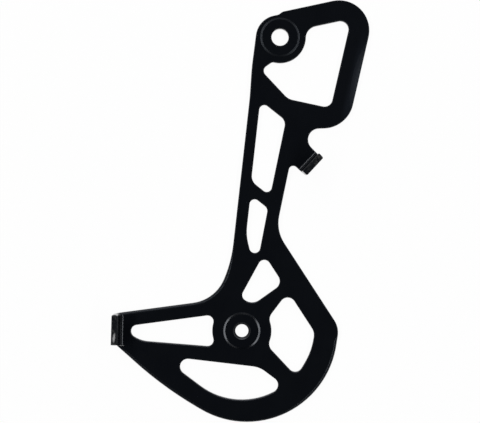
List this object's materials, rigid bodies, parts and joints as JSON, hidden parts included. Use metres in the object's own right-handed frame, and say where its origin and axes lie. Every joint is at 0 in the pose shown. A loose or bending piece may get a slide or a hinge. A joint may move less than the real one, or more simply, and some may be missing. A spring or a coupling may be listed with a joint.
{
  "type": "derailleur cage plate",
  "caption": "Flat pierced plate with folded ears and raised pulley seats that guides the chain between a guide pulley and a tension pulley of a rear derailleur.",
  "frame": {"origin": "axis of the guide pulley's hole, in the plane of the plate's back face", "axes": "+Z along the pulley axes, from the flat back face to the side of the pulleys; -Y from the guide pulley's hole to the tension pulley's hole; +X to the side of the open loop"},
  "size_m": [0.0707, 0.1355, 0.01],
  "materials": {
    "black_aluminium": "black satin anodised sheet with a fine tumbled texture"
  },
  "bodies": {
    "root": {"cage_plate": "black_aluminium"}
  },
  "joints": []
}
